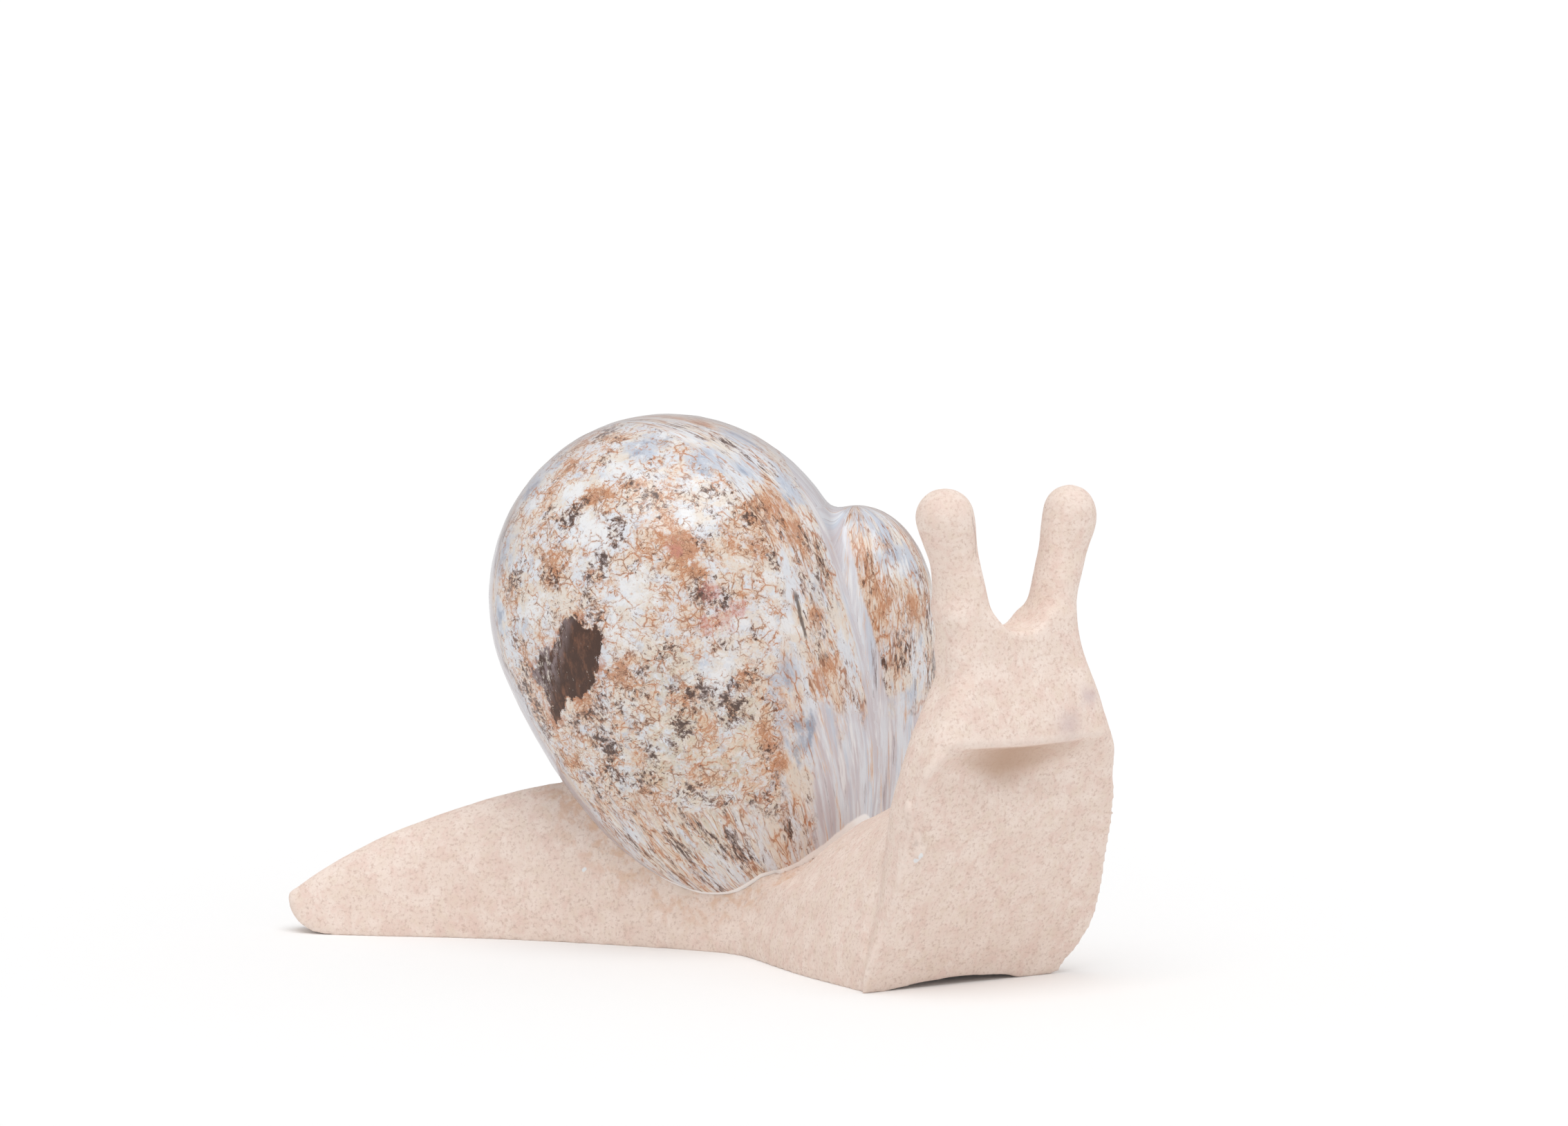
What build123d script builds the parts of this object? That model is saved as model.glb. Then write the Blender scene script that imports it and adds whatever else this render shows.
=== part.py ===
from build123d import *
import math
import os

# Everything is in millimetres: +X towards the head, +Y the snail's left, +Z up

# Foot: the long creeping body, bowed in plan so that the head turns to its right
FOOT_SPAN = 135.5
FOOT_BOW = 30.0
FOOT_HALF_WIDTH = 18.0
TAIL_RISE = 29.0
TAIL_TURN = 29.0
TAIL_NOSE_LENGTH = 8.0
TAIL_NOSE_HEIGHT = 6.5
TAIL_NOSE_HALF_WIDTH = 5.6

# Head: an upright block with a flat leaning chest and a soft brow
HEAD_LEAD = 2.6
HEAD_ASIDE = 3.8
HEAD_TURN = -29.3
HEAD_HEIGHT = 67.5
HEAD_HALF_WIDTH = 22.5
HEAD_DEPTH = 40.0
CHEST_HEIGHT = 43.1
CHEST_LEAN = 19.4
BROW_DROP = 5.0
HOLLOW_DEPTH = 1.2
ARCH_SPAN = 30.0
ARCH_RISE = 1.3
ARCH_DEPTH = 9.0

# Eye stalks: two clubs luted into sockets on top of the head
RIGHT_STALK_SPREAD = 12.7
LEFT_STALK_SPREAD = 13.5
LEFT_STALK_SLIMNESS_SHARE = 0.91
STALK_REACH = 15.6
STALK_AHEAD = 13.0
STALK_TILT = 15.7
STALK_TIP_RADIUS = 5.0
STALK_WAIST_RADIUS = 4.3
STALK_WAIST_DROP = 7.0
STALK_ROOT_RADIUS = 5.2
STALK_PEG_RADIUS = 3.4
STALK_PEG_LENGTH = 5.0
SADDLE_RADIUS = 5.0
SADDLE_DEPTH = 2.4

# Shell: two hollow egg lobes that run into each other
SHELL_TURN = 22.0
SHELL_SLIMNESS_SHARE = 0.92
BIG_AHEAD = 67.6
BIG_ASIDE = 26.3
SHELL_LIFT = 2.1
BIG_RADIUS = 33.9
BIG_CROWN = 35.1
BIG_TAPER = 63.8
BIG_TILT = -23.2
SMALL_LEAD = 30.4
SMALL_SPREAD = 16.1
SMALL_DROP = 1.6
SMALL_RADIUS = 14.0
SMALL_CROWN = 19.8
SMALL_TAPER = 52.0
SMALL_TILT = -3.0
CREASE_RADIUS = 2.0
SHELL_WALL = 3.5
GLAZE_THICKNESS = 0.7
DRAIN_RADIUS = 1.7

# Hollows under the sole, so that thick clay dries and fires evenly
HEAD_POCKET_AHEAD = -14.0
HEAD_POCKET_RADIUS = 7.0
HEAD_POCKET_HEIGHT = 26.0
TAIL_POCKET_RADIUS = 6.0
TAIL_POCKET_HEIGHT = 15.0
TAIL_POCKET_AHEAD = 40.0
TAIL_POCKET_ASIDE = 19.5

OVERRUN = 20.0
CURVE_STEPS = 12
MESH_TOLERANCE = 0.05

# Foot stations: ahead share, bow share, turn, half width share, rise share
FOOT_STATION_SHARES = [
    (-0.004, -0.010, 29.0, 0.180, 0.230),
    (0.040, 0.093, 29.0, 0.270, 0.388),
    (0.100, 0.240, 28.0, 0.370, 0.568),
    (0.195, 0.465, 26.0, 0.480, 0.775),
    (0.365, 0.790, 21.0, 0.700, 0.985),
    (0.553, 1.000, 13.0, 0.880, 0.860),
    (0.714, 0.980, -18.0, 1.030, 0.760),
    (0.812, 0.645, -31.0, 0.980, 0.900),
    (0.894, 0.420, -30.0, 1.030, 1.080),
    (0.956, 0.273, -29.5, 1.060, 1.200),
    (1.006, 0.157, -29.3, 1.090, 1.240),
]

# Head rings: height share, then back, middle and front as depth shares,
# then aside, half width and corner radius as half-width shares
HEAD_RING_SHARES = [
    (-0.104, -0.200, 0.050, 0.520, -0.010, 0.880, 0.16),
    (0.120, -0.200, 0.070, 0.520, 0.127, 1.027, 0.16),
    (0.385, -0.150, 0.170, 0.515, 0.112, 0.962, 0.16),
    (0.630, -0.030, 0.290, 0.500, 0.046, 0.873, 0.16),
    (0.815, 0.130, 0.290, 0.480, 0.050, 0.660, 0.16),
    (1.000, 0.185, 0.310, 0.460, 0.000, 0.590, 0.16),
]


def foot_section(ahead, bow, turn, half, rise):
    """An upright half-round slice across the foot, flat along the floor."""
    heading = Vector(math.cos(math.radians(turn)), math.sin(math.radians(turn)))
    place = Plane(
        origin=(ahead * FOOT_SPAN, bow * FOOT_BOW, 0), x_dir=(-heading.Y, heading.X, 0), z_dir=heading
    )
    half_width = half * FOOT_HALF_WIDTH
    height = rise * TAIL_RISE
    angles = [math.pi * step / CURVE_STEPS for step in range(CURVE_STEPS + 1)]
    points = [(half_width * math.cos(angle), height * math.sin(angle)) for angle in angles]
    arch = Spline(*points, tangents=[(0, 1), (0, -1)])
    sole = Line(arch @ 1, arch @ 0)
    return place * make_face([arch, sole])


def tail_nose_cutter():
    """What is taken off round the tail tip, so that it is blunt and clear of the floor."""
    reach = TAIL_NOSE_LENGTH + OVERRUN
    profile = extrude(Plane.XZ * Ellipse(TAIL_NOSE_LENGTH, TAIL_NOSE_HEIGHT), amount=reach, both=True)
    plan = extrude(Ellipse(TAIL_NOSE_LENGTH, TAIL_NOSE_HALF_WIDTH), amount=reach, both=True)
    block = Box(reach, reach, reach, align=(Align.MAX, Align.CENTER, Align.CENTER))
    place = Rot(0, 0, TAIL_TURN) * Location((TAIL_NOSE_LENGTH, 0, TAIL_NOSE_HEIGHT))
    return place * (block - (profile & plan))


def foot():
    """The foot as one smooth loft from a blunt tail tip to inside the head."""
    return loft([foot_section(*row) for row in FOOT_STATION_SHARES]) - tail_nose_cutter()


def head_ring(height, back, middle, front, aside, half, corner):
    """A level slice through the head: an oval behind, a straight brow in front."""
    nape = back * HEAD_DEPTH
    ear = middle * HEAD_DEPTH
    brow = front * HEAD_DEPTH
    shift = aside * HEAD_HALF_WIDTH
    side = half * HEAD_HALF_WIDTH
    round_off = corner * HEAD_HALF_WIDTH
    oval = EllipticalCenterArc((ear, shift), ear - nape, side, 90, arc_size=180)
    left = Line((brow - round_off, shift + side), oval @ 0)
    right = Line(oval @ 1, (brow - round_off, shift - side))
    right_corner = RadiusArc(right @ 1, (brow, shift - side + round_off), -round_off)
    face = Line(right_corner @ 1, (brow, shift + side - round_off))
    left_corner = RadiusArc(face @ 1, left @ 0, -round_off)
    outline = [oval, right, right_corner, face, left_corner, left]
    return Plane.XY.offset(height * HEAD_HEIGHT) * make_face(outline)


def chest_cutter():
    """What is planed away in front of the leaning chest and below the brow."""
    below = CHEST_LEAN * OVERRUN / CHEST_HEIGHT
    bend_share = (CHEST_HEIGHT - BROW_DROP) / CHEST_HEIGHT
    cut = Polyline(
        (CHEST_LEAN, CHEST_HEIGHT),
        (CHEST_LEAN + OVERRUN, CHEST_HEIGHT),
        (CHEST_LEAN + OVERRUN, -OVERRUN),
        (-below, -OVERRUN),
        (CHEST_LEAN * bend_share - HOLLOW_DEPTH, CHEST_HEIGHT * bend_share),
    )
    under_brow = Line(cut @ 1, cut @ 0)
    wedge = Plane.XZ * make_face([cut, under_brow])
    return extrude(wedge, amount=HEAD_HALF_WIDTH + OVERRUN, both=True)


def saddle_cutter():
    """The round bottom of the fork between the two eye stalks."""
    bar = Cylinder(SADDLE_RADIUS, HEAD_DEPTH + OVERRUN)
    return Location((0, 0, HEAD_HEIGHT - SADDLE_DEPTH + SADDLE_RADIUS), (0, 90, 0)) * bar


def arch_cutter():
    """A low arch under the front edge of the chest."""
    radius = (ARCH_SPAN ** 2 / 4 + ARCH_RISE ** 2) / (2 * ARCH_RISE)
    barrel = Cylinder(radius, 2 * ARCH_DEPTH)
    return Location((0, 0, ARCH_RISE - radius), (0, 90, 0)) * barrel


def head_place():
    """Where the head's own axes stand, just ahead of the foot's front end."""
    return Location((FOOT_SPAN + HEAD_LEAD, HEAD_ASIDE, 0), (0, 0, HEAD_TURN))


def head():
    """The head block, with its chest planed flat and the brow left proud."""
    block = loft([head_ring(*row) for row in HEAD_RING_SHARES])
    return head_place() * (block - chest_cutter() - saddle_cutter())


def stalk(aside, tilt, slimness):
    """One eye stalk: a club that widens at its root, seated flat, with a peg below."""
    root_height = -STALK_REACH / math.cos(math.radians(tilt))
    tip = CenterArc((0, 0), STALK_TIP_RADIUS * slimness, 0, 90)
    root_radius = STALK_ROOT_RADIUS * slimness
    root = (root_radius, root_height)
    waist = (STALK_WAIST_RADIUS * slimness, -STALK_WAIST_DROP)
    flank = Spline(tip @ 0, waist, root, tangents=[(0, -1), (0, -1)])
    root_end = root_height - STALK_PEG_LENGTH
    stem = Polyline(root, (root_radius, root_end), (0, root_end), tip @ 1)
    club = revolve(Plane.XZ * make_face([tip, flank, stem]), Axis.Z)
    peg = Location((0, 0, root_height)) * Cylinder(STALK_PEG_RADIUS, 2 * STALK_PEG_LENGTH)
    stand = Location((STALK_AHEAD, aside, HEAD_HEIGHT + STALK_REACH)) * Rot(tilt, 0, 0)
    seat = Location((0, 0, HEAD_HEIGHT - OVERRUN)) * Box(2 * HEAD_DEPTH, FOOT_SPAN, 2 * OVERRUN)
    return head_place() * (stand * club - seat + stand * peg)


def lobe(ahead, aside, height, radius, crown, taper, tilt, inset):
    """One egg lobe, blunt at its crown and long below, shrunk by the inset."""
    wide = radius - inset
    crown_arc = EllipticalCenterArc((0, 0), wide, crown - inset, 0, arc_size=90)
    taper_arc = EllipticalCenterArc((0, 0), wide, taper - inset, 270, arc_size=90)
    middle_line = Line(crown_arc @ 1, taper_arc @ 0)
    egg = revolve(Plane.XZ * make_face([crown_arc, middle_line, taper_arc]), Axis.Z)
    slim_share = (radius * SHELL_SLIMNESS_SHARE - inset) / wide
    egg = scale(egg, by=(1, slim_share, 1))
    return Location((ahead, aside, height), (0, 0, SHELL_TURN)) * Rot(0, tilt, 0) * egg


def big_height():
    """The height of the big lobe's middle, with its lowest point just above the floor."""
    tilt = math.radians(BIG_TILT)
    return SHELL_LIFT + math.hypot(BIG_TAPER * math.cos(tilt), BIG_RADIUS * math.sin(tilt))


def lobes(inset):
    """Both lobes as one body, grown together along a soft crease."""
    height = big_height()
    big = lobe(BIG_AHEAD, BIG_ASIDE, height, BIG_RADIUS, BIG_CROWN, BIG_TAPER, BIG_TILT, inset)
    ahead = BIG_AHEAD + SMALL_LEAD
    aside = BIG_ASIDE + SMALL_SPREAD
    height = height - SMALL_DROP
    small = lobe(ahead, aside, height, SMALL_RADIUS, SMALL_CROWN, SMALL_TAPER, SMALL_TILT, inset)
    both = big + small
    return fillet(new_edges(big, small, combined=both), CREASE_RADIUS)


def under_floor():
    """What is trimmed off so that the sole lies flat."""
    return Location((0, 0, -OVERRUN)) * Box(4 * FOOT_SPAN, 4 * FOOT_SPAN, 2 * OVERRUN)


def pocket(ahead, aside, radius, height):
    """A round-ended hollow that rises from the sole."""
    dome = Location((ahead, aside, height - radius)) * Sphere(radius)
    shaft = Location((ahead, aside, 0)) * Cylinder(radius, 2 * (height - radius))
    return dome + shaft


def bare_body():
    """Foot and head as one lump of clay, before anything is cut from it."""
    return foot() + head() - under_floor()


def shell_drain():
    """The hole under the shell that lets slip and kiln air out."""
    tilt = math.radians(BIG_TILT)
    run = -BIG_TAPER * math.sin(tilt)
    ahead = BIG_AHEAD + run * math.cos(math.radians(SHELL_TURN))
    aside = BIG_ASIDE + run * math.sin(math.radians(SHELL_TURN))
    return Location((ahead, aside, 0)) * Cylinder(DRAIN_RADIUS, OVERRUN)


def stalks():
    """Both eye stalks; the left one is rolled a little slimmer."""
    left = stalk(LEFT_STALK_SPREAD, -STALK_TILT, LEFT_STALK_SLIMNESS_SHARE)
    right = stalk(-RIGHT_STALK_SPREAD, STALK_TILT, 1)
    return {"left_eye_stalk": left, "right_eye_stalk": right}


def body(lump, shell_outside, eye_stalks):
    """The lump with its seat for the shell, stalk sockets, arch and sole pockets."""
    clay = lump - shell_outside - shell_drain()
    for eye_stalk in eye_stalks:
        clay = clay - eye_stalk
    head_pocket = pocket(HEAD_POCKET_AHEAD, 0, HEAD_POCKET_RADIUS, HEAD_POCKET_HEIGHT)
    tail_pocket = pocket(TAIL_POCKET_AHEAD, TAIL_POCKET_ASIDE, TAIL_POCKET_RADIUS, TAIL_POCKET_HEIGHT)
    return clay - head_place() * (head_pocket + arch_cutter()) - tail_pocket


def figurine():
    """All five nodes in the working frame of the tables above."""
    lump = bare_body()
    shell_outside = lobes(GLAZE_THICKNESS)
    shell_inside = lobes(GLAZE_THICKNESS + SHELL_WALL)
    nodes = stalks()
    nodes["body"] = body(lump, shell_outside, list(nodes.values()))
    nodes["shell"] = shell_outside - shell_inside - shell_drain()
    nodes["glaze_coat"] = lobes(0) - shell_outside - lump
    return nodes


def plan_middle(shapes):
    """The middle of all the shapes as seen from above, read from fine meshes of them."""
    points = [point for shape in shapes for point in shape.tessellate(MESH_TOLERANCE)[0]]
    ahead = [point.X for point in points]
    aside = [point.Y for point in points]
    return (min(ahead) + max(ahead)) / 2, (min(aside) + max(aside)) / 2


def main():
    nodes = figurine()
    ahead, aside = plan_middle(nodes.values())
    os.makedirs("parts", exist_ok=True)
    for name, shape in nodes.items():
        export_step(Location((-ahead, -aside, 0)) * shape, f"parts/{name}.step")
    print("moved by", round(-ahead, 3), round(-aside, 3))


main()
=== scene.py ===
import math

import bmesh
import bpy
import numpy as np
from mathutils import Matrix, Vector, noise
from mathutils.bvhtree import BVHTree
from mathutils.kdtree import KDTree

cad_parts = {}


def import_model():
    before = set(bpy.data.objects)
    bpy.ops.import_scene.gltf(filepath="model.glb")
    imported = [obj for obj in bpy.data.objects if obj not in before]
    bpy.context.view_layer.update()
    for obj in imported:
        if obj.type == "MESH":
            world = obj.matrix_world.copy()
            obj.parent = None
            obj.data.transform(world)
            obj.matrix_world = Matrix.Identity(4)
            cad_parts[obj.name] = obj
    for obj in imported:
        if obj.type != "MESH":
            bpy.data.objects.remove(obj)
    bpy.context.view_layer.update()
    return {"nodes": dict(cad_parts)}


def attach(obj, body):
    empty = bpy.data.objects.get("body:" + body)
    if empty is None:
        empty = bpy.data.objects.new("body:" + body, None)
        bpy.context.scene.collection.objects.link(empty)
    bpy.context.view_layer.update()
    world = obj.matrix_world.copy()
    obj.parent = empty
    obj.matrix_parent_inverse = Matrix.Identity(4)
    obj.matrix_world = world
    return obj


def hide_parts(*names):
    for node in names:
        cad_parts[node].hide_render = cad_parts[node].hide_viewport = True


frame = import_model()
nodes = frame["nodes"]

MM = 0.001

# Where things are, in millimetres and radians, in the working frame of the part's source
ROW_SHIFT = np.array((-81.874, -18.794, 0.0))
CHEST_FOOT = np.array((138.1, 3.8, 0.0))
CHEST_SLOPE = 19.4 / 43.1
HEAD_TURN = math.radians(-29.3)
HEAD_AHEAD = np.array((math.cos(HEAD_TURN), math.sin(HEAD_TURN), 0))
HEAD_LEFT = np.array((-math.sin(HEAD_TURN), math.cos(HEAD_TURN), 0))
STALK_SEAT_HEIGHT = 67.5
SHELL_TURN = math.radians(22)
BIG_CENTRE = np.array((67.6, 26.3, 62.2))
BIG_RADIUS = 33.9
BIG_REACH = 64
BIG_TILT = math.radians(-23.2)
SMALL_CENTRE = np.array((98.0, 42.4, 60.6))
SMALL_RADIUS = 14.0
SMALL_REACH = 52
SMALL_CROWN = 20.5
SMALL_TILT = math.radians(-3)
VENT = np.array((90.9, 35.7, 2.7))
VENT_PLUG_RADIUS = 4
GLAZE_THICKNESS = 0.7

# The side from which the photo looks, and how far it is turned from the figurine's right side
PHOTO_SIDE = np.array((0.47, -0.87, 0.12))
VIEW_TURN = math.radians(28)

# How high the clay stands against the shell at the neck, from right to left
RIM_PLACES = (-6, 0, 4, 8, 14, 18.6, 22)
RIM_LEVELS = (11.5, 15.5, 18.4, 20.5, 23.2, 27, 33)

# The line along which the slope behind the head is lowered, seen from above
SADDLE = np.array(((24, -7), (42, -15)))
SADDLE_DROP = 2.9

# Marks on the glaze, in millimetres in the frame of the assembly: three for the place, then its reach
BLUE_CLOUDS = [
    (-1, -6, 90, 4.7), (0, 8, 93, 5), (-11, -8, 92, 4.1), (10, 6, 85, 4.4), (11, 17, 83, 4),
    (20, -3, 41, 5.5), (17, -7, 52, 3.5), (-37, -16, 71, 4.5), (-37, -17, 61, 4), (20, 19, 79, 5),
    (27, 20, 71, 4), (-32, -11, 85, 5), (21, 1, 34, 3.5), (29, 19, 46, 3), (5, 0, 88, 4),
]
WHITE_CLOUDS = [
    (-15, -21, 77, 4.5), (-6, -22, 67, 4.1), (-13, -14, 88, 3.5), (11, -13, 62, 2.9), (1, -15, 80, 2.3),
    (-22, -16, 85, 2.9), (-30, -15, 82, 2.5), (-27, -22, 63, 3.1), (16, -6, 61, 2.9), (14, -7, 68, 2.5),
    (-7, -4, 94, 3.1), (7, -5, 84, 2.7), (15, 5, 79, 1.9), (7, -16, 53, 2.7), (-8, -23, 59, 3.3),
    (27, 18, 69, 2.3),
]
RUST_FIELDS = [
    (-15, -18, 83, 3.7), (-9, -15, 86, 2.7), (1, -17, 76, 3.5), (-3, -15, 82, 2.9), (10, -2, 82, 3.7),
    (14, 1, 78, 2.9), (4, -17, 71, 2.3), (19, -1, 62, 2.5), (21, 1, 53, 2.7), (-16, -21, 46, 3.7),
    (7, -10, 78, 2.5), (-23, -23, 70, 2.7), (3, -18, 48, 2.5), (-9, -22, 53, 2.5), (26, 16, 66, 4.3),
    (29, 19, 63, 3.1), (24, 18, 74, 1.6), (-6, 4, 96, 2.3), (14, -10, 42, 2.3), (-24, -14, 34, 2.9),
    (16, -7, 36, 2.1),
]
DARK_SPOTS = [
    (-11, -13, 88, 2.4), (-19, -20, 80, 3), (-12, -20, 80, 2.5), (9, -7, 79, 2.7), (15, 3, 77, 2.5),
    (10, -14, 47, 3.2), (-7, -20, 41, 3.4), (-13, -19, 38, 3), (-9, -22, 48, 3), (17, -7, 50, 2),
    (12, -8, 28, 2.2), (-18, -14, 29, 3.2), (5, -17, 51, 2.2), (27, 16, 53, 3), (1, -18, 42, 2.6),
    (8, -14, 41, 2.6), (-25, -22, 70, 2.2), (15, -4, 73, 2),
]
SAND_FIELDS = [
    (3, -17, 40, 11), (9, -12, 34, 9), (-4, -17, 34, 8), (4, -11, 23, 8), (11, -13, 45, 6),
    (0, -20, 51, 6),
]
PINK_SPOTS = [
    (0, -18, 75, 2.7), (6, -16, 67, 3), (8, -15, 62, 3.5), (10, -13, 64, 2.7), (6, -17, 61, 2.4),
]
POOLS = [(22.5, 9, 24, 9), (26, 18, 27, 5)]
VEIN = (Vector((16.5, -3.2, 67.0)), Vector((18.9, -2.4, 57.5)))

# The glaze's fields: name, marks, and the seed of the noise that goes on with them at the back
GLAZE_FIELDS = [
    ("cloud", BLUE_CLOUDS, 21), ("rust", RUST_FIELDS, 22),
    ("dark", DARK_SPOTS, 23), ("sand", SAND_FIELDS, 24),
]

# The outline of the dark bare patch, to the right and up as the photo looks
PATCH_OUTLINE = [
    (-27.6, 62.7), (-25.3, 62.2), (-24.5, 60.7), (-21.4, 60.4), (-21.3, 57.3), (-21.7, 54.2),
    (-23.2, 49.6), (-25.3, 46.8), (-27.4, 47.4), (-28.6, 44.6), (-30.1, 41.2), (-31.0, 44.2),
    (-32.2, 47.7), (-34.6, 50.3), (-33.9, 52.9), (-32.6, 56.6), (-30.9, 56.2), (-29.6, 58.1),
    (-28.8, 59.9),
]

# Marks on the clay, written in the same way; the lumps also have a height
SEAM_LUMPS = [(57.3, -38.3, 33.6, 1.4, 0.8), (57.5, -36.0, 29.0, 1.1, 0.6), (57.4, -34.6, 26.6, 1.6, 0.9)]
SEAM_CHIPS = [(57.0, -34.4, 24.8, 0.8), (57.3, -34.5, 25.7, 0.6), (-26.1, -5.1, 13.5, 0.55)]
SMUDGES = [(77.4, -17.6, 47.3, 2.4), (80.0, -13.5, 52.0, 1.8)]
HAIRLINE = (Vector((66.2, -31.6, 85.0)), Vector((66.3, -30.2, 77.0)))


# Meshes as arrays of points and faces, in millimetres

def world_mesh(*names):
    """The CAD nodes of these names as one new mesh."""
    mesh = bmesh.new()
    for name in names:
        part = nodes[name].data.copy()
        part.transform(nodes[name].matrix_world)
        mesh.from_mesh(part)
        bpy.data.meshes.remove(part)
    return mesh


def new_object(name, mesh):
    """A bmesh as an object in the scene."""
    data = bpy.data.meshes.new(name)
    mesh.to_mesh(data)
    mesh.free()
    piece = bpy.data.objects.new(name, data)
    bpy.context.scene.collection.objects.link(piece)
    return piece


def apply_modifiers(piece):
    """Turns what the modifiers show into the piece's own mesh."""
    shown = piece.evaluated_get(bpy.context.evaluated_depsgraph_get())
    data = bpy.data.meshes.new_from_object(shown)
    piece.modifiers.clear()
    piece.data = data


def islands_of(mesh):
    """The points of a bmesh, sorted into connected groups, smallest first."""
    left = set(mesh.verts)
    islands = []
    while left:
        stack = [left.pop()]
        island = list(stack)
        while stack:
            for edge in stack.pop().link_edges:
                for vertex in edge.verts:
                    if vertex in left:
                        left.remove(vertex)
                        stack.append(vertex)
                        island.append(vertex)
        islands.append(island)
    return sorted(islands, key=len)


def keep_largest(mesh):
    """Deletes all the connected groups of a bmesh except the largest."""
    for island in islands_of(mesh)[:-1]:
        bmesh.ops.delete(mesh, geom=island, context="VERTS")


def remesh(piece, voxel):
    """An even quad skin over the whole piece, without the skins that lie inside it."""
    modifier = piece.modifiers.new("skin", "REMESH")
    modifier.mode = "VOXEL"
    modifier.voxel_size = voxel * MM
    modifier.use_smooth_shade = True
    apply_modifiers(piece)
    mesh = bmesh.new()
    mesh.from_mesh(piece.data)
    keep_largest(mesh)
    mesh.to_mesh(piece.data)
    mesh.free()


def points_of(piece):
    """The piece's points in millimetres, one row each."""
    flat = np.empty(len(piece.data.vertices) * 3)
    piece.data.vertices.foreach_get("co", flat)
    return flat.reshape(-1, 3) / MM


def set_points(piece, points):
    """Moves the piece's points to these places, in millimetres."""
    piece.data.vertices.foreach_set("co", (points * MM).ravel())
    piece.data.update()


def normals_of(piece):
    """The piece's outward directions, one row for each point."""
    flat = np.empty(len(piece.data.vertices) * 3)
    piece.data.vertex_normals.foreach_get("vector", flat)
    return flat.reshape(-1, 3)


def neighbour_means(piece, values):
    """For each point, the mean of the values at the points next to it."""
    edges = np.empty(len(piece.data.edges) * 2, dtype=int)
    piece.data.edges.foreach_get("vertices", edges)
    first, second = edges.reshape(-1, 2).T
    total = len(values)
    degree = np.bincount(first, minlength=total) + np.bincount(second, minlength=total)
    means = np.empty_like(values)
    for axis in range(values.shape[1]):
        column = values[:, axis]
        gathered = np.bincount(first, column[second], total) + np.bincount(second, column[first], total)
        means[:, axis] = gathered / degree
    return means


def relax(piece, weights, rounds, rebound=0.0):
    """Softens the surface; weights say how much each point may move in a round.

    A rebound of about 1 lets thin forms keep their size."""
    points = points_of(piece)
    for turn in range(rounds):
        step = -rebound * weights if rebound and turn % 2 else weights
        points = points + (neighbour_means(piece, points) - points) * step[:, None]
    set_points(piece, points)


def fade(values, start, end):
    """0 before start, 1 after end, smooth between; start may be the larger one."""
    share = np.clip((values - start) / (end - start), 0, 1)
    return share * share * (3 - 2 * share)


def band(values, middle, reach, core):
    """1 within core of the middle, falling to 0 at reach."""
    return fade(np.abs(values - middle), reach, core)


def wobble(points, size, seed):
    """Smooth noise from about -1 to 1, with lumps of about that size."""
    shift = Vector((seed * 7.1, seed * 3.3, seed * 5.7))
    return np.array([noise.noise(Vector(point) / size + shift) for point in points.tolist()])


def blobs(points, marks):
    """1 at the middle of each mark, falling softly to 0 beyond its reach."""
    strongest = np.zeros(len(points))
    for *place, reach in marks:
        away = np.linalg.norm(points - np.array(place), axis=1)
        strongest = np.maximum(strongest, np.exp(-((away / reach) ** 2)))
    return strongest


def store(piece, name, values):
    """Keeps one number or one vector per point on the mesh, for its material."""
    kind = "FLOAT" if values.ndim == 1 else "FLOAT_VECTOR"
    layer = piece.data.attributes.new(name, kind, "POINT")
    layer.data.foreach_set("value" if values.ndim == 1 else "vector", np.ascontiguousarray(values).ravel())


def surface_of(piece):
    """The piece's faces, ready for nearest-place questions in metres."""
    mesh = piece.data
    corners = [vertex.co for vertex in mesh.vertices]
    return BVHTree.FromPolygons(corners, [face.vertices for face in mesh.polygons])


def depth_in(surface, points):
    """How far outside a surface each point lies, in millimetres; below 0 is inside."""
    depths = np.empty(len(points))
    for index, point in enumerate(points.tolist()):
        place = Vector(point) * MM
        nearest, normal, _, away = surface.find_nearest(place)
        side = 1 if (place - nearest).dot(normal) > 0 else -1
        depths[index] = side * away / MM
    return depths


def snapped(place, surface):
    """The spot on a surface that lies nearest to a place."""
    return np.array(surface.find_nearest(Vector(place) * MM)[0]) / MM


def shade_smooth(piece):
    """Rounds the shading over the edges between the piece's faces."""
    for face in piece.data.polygons:
        face.use_smooth = True


# The bare clay: foot, head and stalks drawn together as wet clay is, then parted again

CLAY_VOXEL = 0.6

# How far the press reaches that closes the seat's rim: heights, search, facing and distance
SEAT_LOW, SEAT_HIGH = 6, 42
PRESS_SEARCH = 3
PRESS_FACING, PRESS_FACING_SOFT = 0.1, 0.3
PRESS_NEAR, PRESS_NEAR_SOFT = 2.2, 1.2

# How the clay rises away from the rim at the neck: its slope, and a curve beyond a flat stretch
RIM_SLOPE, RIM_CURVE, RIM_FLAT = 0.06, 0.09, 3

# How far the hand moved the stalks and their surroundings
STALK_RISE = 0.7
FORK_ASIDE = 0.6
FORK_SINK = 1.4
FORK_PART = 1.3
FAR_STALK_SHIFT = 0.9
NEAR_ROOT_SHIFT = 1.7
NAPE_SHIFT = 0.8
FAR_CORNER_SHIFT = 3.0

# The brow: the height of its ledge, how much lower its middle hangs, and where that middle is
BROW_HEIGHT = 45.0
BROW_SAG = 0.7
BROW_MIDDLE = -1.0
BROW_SPREAD = 11.5
SHADE_SPREAD = 10.0

# Unevenness of the clay: height, size and seed of each wave
CLAY_WAVES = ((0.16, 13, 1), (0.07, 5, 2), (0.03, 1.8, 3))
LUMP_RAGGEDNESS = 0.35
WEAR_ROUNDS = 6


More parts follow.
